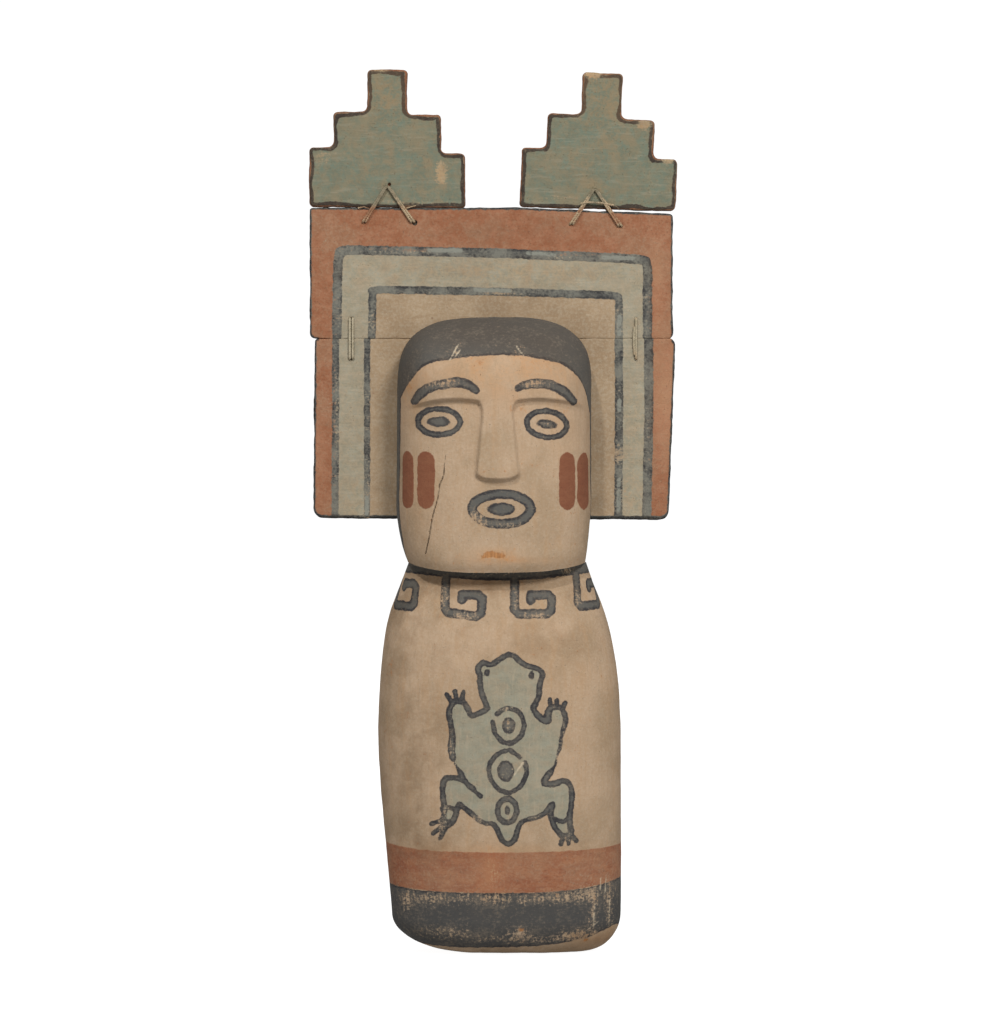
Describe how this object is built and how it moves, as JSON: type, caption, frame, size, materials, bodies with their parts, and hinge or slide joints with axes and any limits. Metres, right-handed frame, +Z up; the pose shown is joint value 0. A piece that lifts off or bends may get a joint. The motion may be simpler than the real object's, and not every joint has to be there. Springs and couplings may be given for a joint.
{
  "type": "kachina doll",
  "caption": "Carved and painted wooden doll with one block for body and head, a board headdress behind the head, and two stepped terraces lashed on top with cord.",
  "frame": {"origin": "on the flat base, below the middle of the neck", "axes": "+Z up from the base to the headdress, the figure faces -Y, +X to the right of a viewer who looks at its face"},
  "size_m": [0.1251, 0.0525, 0.2974],
  "materials": {
    "painted_figure": "matt earth paint on carved soft wood, worn",
    "painted_boards": "matt earth paint on thin boards, rubbed edges",
    "painted_terraces": "matt grey-green paint with dark borders, chipped",
    "cord": "twisted plant-fibre cord, partly painted over"
  },
  "bodies": {
    "root": {"figure": "painted_figure", "tableta_lower_board": "painted_boards", "tableta_upper_board": "painted_boards", "left_terrace": "painted_terraces", "right_terrace": "painted_terraces", "left_terrace_tie": "cord", "right_terrace_tie": "cord", "left_seam_stitch": "cord", "right_seam_stitch": "cord"}
  },
  "joints": []
}
